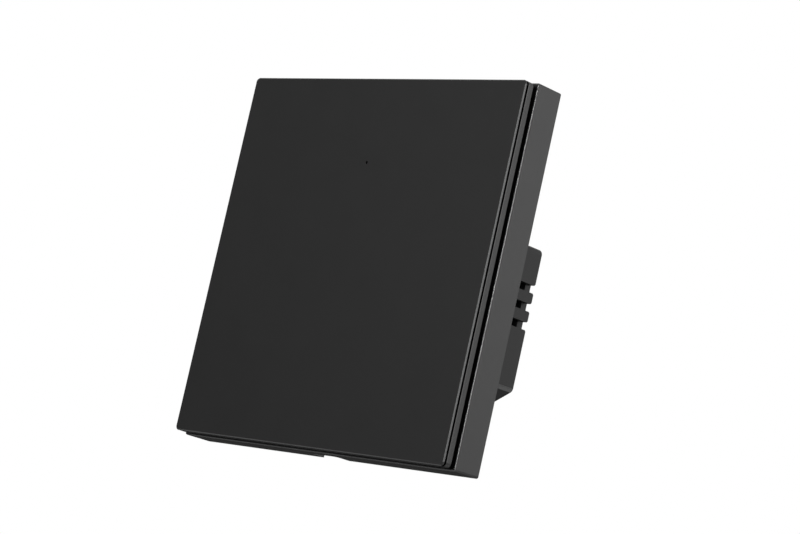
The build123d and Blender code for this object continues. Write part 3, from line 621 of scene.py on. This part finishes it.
def threaded(radius, height, start, end, pitch, tip_radius, tip_length):
    """Rows of a threaded shank, ten to a turn. The radius falls in a straight line to the
    tip radius over the tip length. The thread's height grows from 0 over the first half
    turn and falls to 0 over the tip."""
    below = np.arange(start, end + pitch / 20, pitch / 10)
    to_tip = np.clip((end - below) / tip_length, 0, 1)
    shape = tip_radius + (radius - tip_radius) * to_tip
    rise = np.clip((below - start) / (pitch / 2), 0, 1) * to_tip
    rows = np.stack([shape, below, 0 * below, height * rise], axis=1)
    return rows.tolist() + [[0.0, end, 0.0, 0.0]]


print("columns round a cross drive:", 4 * (3 + LAND_COLUMNS))

# %% Cover screws
COVER_SCREW_PLACES = [(x, z) for x in (-21.2, 21.2) for z in (-14.5, 8.0)]
COVER_SCREW_TOP = -6.8
pan_head = [
    (0.0, 0.0, 1.0, 0), (0.3, 0.0, 1.0, 0), (0.47, 0.01, 0.95, 0), (0.9, 0.05, 0.7, 0),
    (1.35, 0.13, 0.35, 0), (1.35, 0.13, 0, 0), (1.7, 0.24, 0, 0), (2.0, 0.42, 0, 0),
    (2.2, 0.68, 0, 0), (2.3, 1.0, 0, 0), (2.3, 1.4, 0, 0), (2.2, 1.5, 0, 0), (1.25, 1.5, 0, 0),
]
cover_screw = pan_head + threaded(
    radius=1.25, height=0.3, start=1.55, end=14.75, pitch=1.0, tip_radius=0.5, tip_length=1.6)
make_piece("cover_screws_threaded", [
    driven(x, z, COVER_SCREW_TOP, TO_FRONT, cover_screw, arms=4, half_width=0.33)
    for x, z in COVER_SCREW_PLACES
], plated_screw, "base", ["cover_screws"])

# %% Terminal screws
WAY_X = (-12.0, -4.0, 4.0, 12.0)
WAY_Z = 18.5
TERMINAL_SCREW_TOP = 24.0
cheese_head = [
    (0.0, 0.0, 1.0, 0), (0.4, 0.0, 1.0, 0), (1.3, 0.0, 1.0, 0), (2.3, 0.0, 1.0, 0),
    (2.5, 0.2, 0.8, 0), (2.5, 1.0, 0, 0), (2.5, 1.85, 0, 0), (2.35, 2.0, 0, 0), (1.75, 2.0, 0, 0),
]
terminal_screw = cheese_head + threaded(
    radius=1.75, height=0.36, start=2.05, end=7.95, pitch=0.6, tip_radius=1.3, tip_length=0.5)
for number, x in enumerate(WAY_X, start=1):
    make_piece(f"terminal_screw_{number}_threaded", [
        driven(x, WAY_Z, TERMINAL_SCREW_TOP, TO_BACK, terminal_screw,
               arms=2, half_width=0.4, pitch=0.6)
    ], plated_screw, f"screw_{number}", [f"terminal_screw_{number}"])

# %% [markdown]
# ## Wound parts and capacitors
#
# The drum inductor carries enamelled copper, whose turns show as a row of round wires, and
# the transformer's winding is wrapped in yellow polyester tape between the legs of its
# core. The capacitors are aluminium cans in a shrunk sleeve that curls over the scored top.
# The turns are a wave again, this time of half circles, and the can is a turned profile.

# %% Enamelled wire, tape and can
def enamelled_copper():
    """Copper under clear enamel: a metal with a warm shade, glossier than bare wire, its
    shade drifting a little from turn to turn."""
    material, tree, place = new_material("enamelled_copper")
    drift = add(tree, "ShaderNodeTexNoise", inputs={
        "Vector": place, "Scale": grain(1.5), "Detail": 2.0}).outputs["Fac"]
    colour = add(tree, "ShaderNodeMix", COLOURS, {
        0: drift, 6: linear("#a85a2c"), 7: linear("#c0713a")})
    rough = add(tree, "ShaderNodeMapRange", inputs={
        "Value": drift, "To Min": 0.2, "To Max": 0.32})
    shader = add(tree, "ShaderNodeBsdfPrincipled", inputs={
        "Base Color": colour.outputs[2], "Roughness": rough, "Metallic": 1.0,
        "Coat Weight": 0.5, "Coat Roughness": 0.1})
    add(tree, "ShaderNodeOutputMaterial", inputs={"Surface": shader})
    return material


magnet_wire = enamelled_copper()
winding_tape = moulded_plastic("polyester_tape", "#b99a28", "#c6a835", 0.3, 0.5, 1.2, 0.15)
can_top = rolled_metal("drawn_aluminium", "#bfc1c4", "#cccdd0", 0.3, 0.3, 1.0, 0.15)
print("made", magnet_wire.name, winding_tape.name, can_top.name)


# %% Wire and bands as surfaces
def wound(x, z, near, far, core, wire, columns=32):
    """Wire of this thickness in one layer on a core: the core's radius and half the wire,
    and a half circle over each turn, by the fraction f of depth / wire + turn / 2 pi:
    wire times the root of 1/4 - (f - 1/2) squared."""
    depth = np.linspace(near, far, int((far - near) / wire * 8) + 1)[:, None]
    turn = np.linspace(0, 2 * np.pi, columns, endpoint=False)
    share = (depth / wire + turn / (2 * np.pi)) % 1
    radius = core + wire / 2 + wire * np.sqrt(np.maximum(0.25 - (share - 0.5) ** 2, 0))
    grid = around(x, z, radius, depth, turn)
    ends = [np.broadcast_to([x, y, z], (1, columns, 3)) for y in (near, far)]
    return np.concatenate([ends[0], grid, ends[1]])


def arc_band(x, z, near, far, inner, outer, middle_deg, half_deg):
    """A bent strip: its section, a rectangle of radius and depth, carried along an arc. The
    end rows shrink to the middle of the section."""
    turn = np.radians(middle_deg + half_deg * np.linspace(-1, 1, 17))[:, None]
    radius, depth = np.array([(inner, near), (outer, near), (outer, far), (inner, far)]).T
    grid = around(x, z, radius, depth, turn)
    ends = [np.broadcast_to(grid[row].mean(0), (1, 4, 3)) for row in (0, -1)]
    return np.concatenate([ends[0], grid, ends[1]])


coil_reach = np.ptp(wound(0, 0, near=0, far=4, core=2.0, wire=0.4)[..., 0]) / 2
print("0.4 mm wire on a 2 mm core reaches", round(float(coil_reach), 2), "mm")

# %% Wound pieces
make_piece("inductor_winding", [
    wound(14.0, -19.6, near=13.52, far=19.08, core=2.2, wire=0.4)
], magnet_wire, "base")
make_piece("transformer_tape", [
    arc_band(7.8, -4.2, near=12.45, far=17.65, inner=4.55, outer=outer,
             middle_deg=turn, half_deg=half)
    for outer, turn, half in ((4.68, 90, 46), (4.68, -90, 46), (4.76, 72, 26))
], winding_tape, "base")

# %% Capacitor cans
CAN_PLACES = ((17.4, 2.0), (17.4, -5.0))
CAN_NEAR, CAN_FAR = 9.5, 20.3
sleeve = [
    (0.0, CAN_NEAR + 0.32), (2.42, CAN_NEAR + 0.32), (2.42, CAN_NEAR + 0.08), (2.52, CAN_NEAR),
    (2.9, CAN_NEAR), (3.08, CAN_NEAR + 0.08), (3.15, CAN_NEAR + 0.28), (3.15, CAN_FAR - 2.5),
    (2.98, CAN_FAR - 2.3), (2.92, CAN_FAR - 2.1), (2.98, CAN_FAR - 1.9), (3.15, CAN_FAR - 1.7),
    (3.15, CAN_FAR - 0.25), (3.0, CAN_FAR), (0.0, CAN_FAR),
]
scored_top = [
    (0.0, 0.0, 0.14, 0), (0.16, 0.0, 0.14, 0), (2.0, 0.0, 0.14, 0), (2.0, 0.0, 0, 0),
    (2.3, 0.0, 0, 0), (2.4, 0.04, 0, 0), (2.4, 0.2, 0, 0), (0.0, 0.2, 0, 0),
]
make_piece("capacitor_sleeves", [turned(sleeve, x, z, 48) for x, z in CAN_PLACES],
           sleeve_pvc, "base", ["bulk_capacitors"])
make_piece("capacitor_tops", [
    driven(x, z, CAN_NEAR + 0.1, TO_FRONT, scored_top, arms=4, half_width=0.11)
    for x, z in CAN_PLACES
], can_top, "base")

# %% [markdown]
# ## What sits on the boards
#
# A control board of this kind carries a few chip resistors and capacitors, a controller in
# a small flat case, and the metal cover that the push switch is riveted under. The radio
# module ends in its aerial, a copper track bent to and fro. They lie under the inner cover,
# so each is a soft-edged box, a row of them, or a ring.

# %% Ceramic with tinned ends
TIN_FROM = 0.55


def ceramic_chip():
    """Dark ceramic in the middle and bright tin over each end: the attribute along runs
    from -1 to 1 between the ends, and the tin starts this far from the middle."""
    material, tree, place = new_material("ceramic_chip")
    along = add(tree, "ShaderNodeAttribute", {"attribute_name": "along"}).outputs["Fac"]
    from_middle = add(tree, "ShaderNodeMath", SIZE, {0: along})
    end = add(tree, "ShaderNodeMath", ABOVE, {0: from_middle, 1: TIN_FROM})
    mottle = add(tree, "ShaderNodeTexNoise", inputs={
        "Vector": place, "Scale": grain(0.3)}).outputs["Fac"]
    body = add(tree, "ShaderNodeMix", COLOURS, {
        0: mottle, 6: linear("#3b2f28"), 7: linear("#4b3d33")})
    colour = add(tree, "ShaderNodeMix", COLOURS, {
        0: end, 6: body.outputs[2], 7: linear("#b9bab9")})
    rough = add(tree, "ShaderNodeMapRange", inputs={
        "Value": mottle, "To Min": 0.3, "To Max": 0.45})
    shader = add(tree, "ShaderNodeBsdfPrincipled", inputs={
        "Base Color": colour.outputs[2], "Roughness": rough, "Metallic": end})
    add(tree, "ShaderNodeOutputMaterial", inputs={"Surface": shader})
    return material


chip_ceramic = ceramic_chip()
print("made", chip_ceramic.name)

# %% Chips on both boards
BOARD_FRONT = -3.2
POWER_FRONT = 20.3
CHIP_HALF = np.array((0.8, 0.25, 0.4))
control_chips = [(x, z) for x in (-13.4, -11.2) for z in (16.0, 13.4, 10.8, 5.4)]
control_chips += [(12.6, z) for z in (16.0, 13.4, 10.8, 8.2)]
control_chips += [(4.6, 21.6), (4.6, 24.2), (-4.6, 22.9)]
power_chips = [(x, 9.4) for x in (3.0, 5.4, 7.8, 10.2)] + [(-1.6, -18.6), (-1.6, -21.0)]
places = [(x, BOARD_FRONT - CHIP_HALF[1], z) for x, z in control_chips]
places += [(x, POWER_FRONT - CHIP_HALF[1], z) for x, z in power_chips]
chips = [soft_box(place, CHIP_HALF) for place in places]
ends = [(chip[..., 0] - place[0]) / CHIP_HALF[0] for chip, place in zip(chips, places)]
make_piece("chip_parts", chips, chip_ceramic, "base", along=ends)


# %% Controllers and their legs
def legs(x, z, board, half_width, half_height, count, pitch):
    """Rows of legs down both sides of a case: each has a shoulder out of the case, a riser
    and a foot on the board, which faces -Y."""
    made = []
    for side in (-1, 1):
        for number in range(count):
            level = z + (number - (count - 1) / 2) * pitch
            out = x + side * half_width
            shoulder = (out + side * 0.15, board - half_height, level), (0.25, 0.08, 0.2)
            half_rise = half_height / 2
            riser = (out + side * 0.35, board - half_rise, level), (0.08, half_rise + 0.05, 0.2)
            foot = (out + side * 0.65, board - 0.08, level), (0.35, 0.08, 0.2)
            made += [soft_box(middle, half, 5, 8) for middle, half in (shoulder, riser, foot)]
    return made


LEG_PITCH = 1.27
# x, z, board, half width, half height, legs on a side
controllers = [(-12.4, -3.0, BOARD_FRONT, 2.0, 2.5, 4), (6.4, 5.6, POWER_FRONT, 1.95, 2.45, 4)]
make_piece("controller_cases", [
    soft_box((x, board - 0.85, z), (wide, 0.65, tall), 9, 24, 0.15)
    for x, z, board, wide, tall, count in controllers
], connector_pbt, "base")
make_piece("controller_legs", [
    leg for x, z, board, wide, tall, count in controllers
    for leg in legs(x, z, board, wide, 0.85, count, LEG_PITCH)
], tinned_can, "base")

# %% Cover of the push switch
SWITCH_Z = -9.0
SWITCH_FRONT = -5.8


def square_ring(middle, half, hole, near, far, columns=64):
    """A square plate with a round hole: the section's four corners, hole and edge at both
    depths, carried round. The square's radius is the half side over max(|cos|, |sin|)."""
    turn = np.linspace(0, 2 * np.pi, columns, endpoint=False)
    square = half / np.maximum(np.abs(np.cos(turn)), np.abs(np.sin(turn)))
    round_hole = np.full(columns, hole)
    radius = np.stack([round_hole, square, square, round_hole, round_hole])
    return around(*middle, radius, np.array([near, near, far, far, near])[:, None], turn)


rivets = [
    soft_box((x, SWITCH_FRONT - 0.2, SWITCH_Z + z), (0.4, 0.12, 0.4), 7, 16, 0.8)
    for x in (-2.3, 2.3) for z in (-2.3, 2.3)
]
cover_plate = square_ring((0.0, SWITCH_Z), 2.95, 1.95, SWITCH_FRONT - 0.2, SWITCH_FRONT - 0.01)
make_piece("tact_switch_cover", [cover_plate] + rivets, tinned_can, "base")

# %% Aerial of the radio module
TRACK_X = np.arange(-6.4, 6.5, 1.6)
TRACK_DEPTH = -4.02
uprights = [soft_box((x, TRACK_DEPTH, 16.4), (0.25, 0.04, 1.9), 5, 8, 0.15) for x in TRACK_X]
links = [
    soft_box(((left + right) / 2, TRACK_DEPTH, 18.05 if number % 2 else 14.75),
             (1.05, 0.04, 0.25), 5, 8, 0.15)
    for number, (left, right) in enumerate(zip(TRACK_X[:-1], TRACK_X[1:]))
]
make_piece("module_aerial", uprights + links, magnet_wire, "base")

# %% [markdown]
# ## Floor
#
# The photograph has no floor, only white. A matt white sheet below the switch keeps its
# soft shadow, and for the camera it is mixed with plain white light, so that it stays pale
# without more light on the switch. From below it is clear, because a view from there looks
# through it. Reflections don't meet it: they meet the world, which has a table of its own.

# %% Floor
FLOOR_Z = -0.115
FLOOR_SIDE = 6.0
GLOW = 0.82


def floor_sheet(side, z):
    """A flat square of the given side at height z, as one face."""
    half = side / 2
    corners = np.array([(-half, -half, z), (half, -half, z), (half, half, z), (-half, half, z)])
    mesh = bpy.data.meshes.new("floor")
    mesh.from_pydata(corners.tolist(), [], [(0, 1, 2, 3)])
    sheet = bpy.data.objects.new("floor", mesh)
    bpy.context.scene.collection.objects.link(sheet)
    return sheet


def floor_paint(glow):
    """Matt white paint with a faint mottle 60 mm wide. For the camera, the glow is the share
    of plain white light in it. Its underside is clear."""
    material, tree, place = new_material("matt_floor_paint")
    mottle = add(tree, "ShaderNodeTexNoise", inputs={"Vector": place, "Scale": grain(60.0)})
    colour = add(tree, "ShaderNodeMix", COLOURS, {
        0: mottle.outputs["Fac"], 6: linear("#e9e9e9"), 7: linear("#efefef")})
    paint = add(tree, "ShaderNodeBsdfPrincipled", inputs={
        "Base Color": colour.outputs[2], "Roughness": 0.9, "Specular IOR Level": 0.1})
    white = add(tree, "ShaderNodeEmission", inputs={"Color": (1, 1, 1, 1), "Strength": 1.0})
    from_camera = add(tree, "ShaderNodeLightPath").outputs["Is Camera Ray"]
    share = add(tree, "ShaderNodeMath", TIMES, {0: from_camera, 1: glow})
    pale = add(tree, "ShaderNodeMixShader", inputs={0: share, 1: paint, 2: white})
    underside = add(tree, "ShaderNodeNewGeometry").outputs["Backfacing"]
    clear = add(tree, "ShaderNodeBsdfTransparent")
    sheet = add(tree, "ShaderNodeMixShader", inputs={0: underside, 1: pale, 2: clear})
    add(tree, "ShaderNodeOutputMaterial", inputs={"Surface": sheet})
    return material


floor = floor_sheet(FLOOR_SIDE, FLOOR_Z)
floor.data.materials.append(floor_paint(GLOW))
floor.visible_glossy = False
print("floor at", FLOOR_Z)

# %% [markdown]
# ## World
#
# Black plastic shows what it reflects more than its own colour. In the photograph its face
# is dark to the left and paler to the right, its side is lit by a white backdrop, and its
# underside stays dark. A picture of a studio could be wrapped round the switch, but a few
# ramps over the direction of a ray say the same in plain numbers. The camera meets white,
# and a ray that lights the switch meets an even fill.

# %% World
FILL = 0.3
ROOM_LEFT = 0.1
ROOM_RIGHT = 1.3
ROOM_LOW = 0.45
SHADE = 0.05
TABLE = 1.0


def studio_world():
    """Strength by the kind and the direction of a ray. Camera: 1. Reflection or clear piece:
    behind the switch, the larger of the backdrop and the table on the right. In front of
    it, the larger of the room and the table. Any other: the fill."""
    world = bpy.data.worlds.new("studio")
    world.use_nodes = True
    tree = world.node_tree
    tree.nodes.clear()
    ray = add(tree, "ShaderNodeLightPath").outputs
    direction = add(tree, "ShaderNodeTexCoord").outputs["Generated"]
    x, y, z = add(tree, "ShaderNodeSeparateXYZ", inputs={0: direction}).outputs
    ramps = {
        "room": (x, -0.77, -0.56, ROOM_LEFT, ROOM_RIGHT),
        "above": (z, -0.02, 0.1, ROOM_LOW, 1.0),
        "near table": (z, -0.45, -0.65, 0.0, TABLE),
        "far table": (z, -0.14, -0.3, 0.0, TABLE),
        "on the right": (x, -0.3, 0.1, 0.0, 1.0),
        "backdrop": (z, -0.02, 0.1, SHADE, 1.0),
        "behind": (y, 0.1, 0.5, 0.0, 1.0),
    }
    part = {
        name: add(tree, "ShaderNodeMapRange", inputs={
            "Value": value, "From Min": start, "From Max": end, "To Min": low, "To Max": high})
        for name, (value, start, end, low, high) in ramps.items()
    }
    walls = add(tree, "ShaderNodeMath", TIMES, {0: part["room"], 1: part["above"]})
    in_front = add(tree, "ShaderNodeMath", LARGER, {0: walls, 1: part["near table"]})
    side_table = add(tree, "ShaderNodeMath", TIMES, {
        0: part["far table"], 1: part["on the right"]})
    at_back = add(tree, "ShaderNodeMath", LARGER, {0: part["backdrop"], 1: side_table})
    seen = add(tree, "ShaderNodeMix", inputs={0: part["behind"], 2: in_front, 3: at_back})
    mirrored = add(tree, "ShaderNodeMath", LARGER, {
        0: ray["Is Glossy Ray"], 1: ray["Is Transmission Ray"]})
    unseen = add(tree, "ShaderNodeMix", inputs={0: mirrored, 2: FILL, 3: seen})
    strength = add(tree, "ShaderNodeMix", inputs={0: ray["Is Camera Ray"], 2: unseen, 3: 1.0})
    light = add(tree, "ShaderNodeBackground", inputs={
        "Color": (1, 1, 1, 1), "Strength": strength})
    add(tree, "ShaderNodeOutputWorld", inputs={"Surface": light})
    return world


bpy.context.scene.world = studio_world()
print("world:", bpy.context.scene.world.name)

# %% [markdown]
# ## Lamps
#
# Three soft boxes do the rest. One by the camera draws the line along the rounded edges, a
# broad one on the right and behind makes the side faces paler than the front, and a narrow
# one in front gives the face its even grey. The narrow one has a small spread, which keeps
# most of its light on the switch and off the floor.

# %% Lamps
def softbox(name, at, size, strength, spread=np.pi):
    """A square area lamp at a place, facing the origin. Its power is pi times the strength
    times its area, and the spread is the full angle that its light leaves in."""
    data = bpy.data.lights.new(name, "AREA")
    data.shape = "SQUARE"
    data.size = size
    data.energy = np.pi * strength * size ** 2
    data.spread = spread
    lamp = bpy.data.objects.new(name, data)
    bpy.context.scene.collection.objects.link(lamp)
    away = np.array(at, float) / np.linalg.norm(at)
    side = np.cross([0.0, 0.0, 1.0], away)
    side /= np.linalg.norm(side)
    pose = np.eye(4)
    pose[:3, 0], pose[:3, 1], pose[:3, 2], pose[:3, 3] = side, np.cross(away, side), away, at
    lamp.matrix_world = pose.T.tolist()
    lamp.visible_camera = False


softbox("lamp_by_camera", (0.85, -0.85, 0.22), size=0.4, strength=7.0)
softbox("lamp_right", (0.95, 0.95, 0.33), size=0.8, strength=2.5)
softbox("lamp_front", (0.17, -1.15, 0.18), size=0.3, strength=3.4, spread=0.8)
bpy.context.scene.view_settings.view_transform = "Standard"
print("lamps:", len(bpy.data.lights))
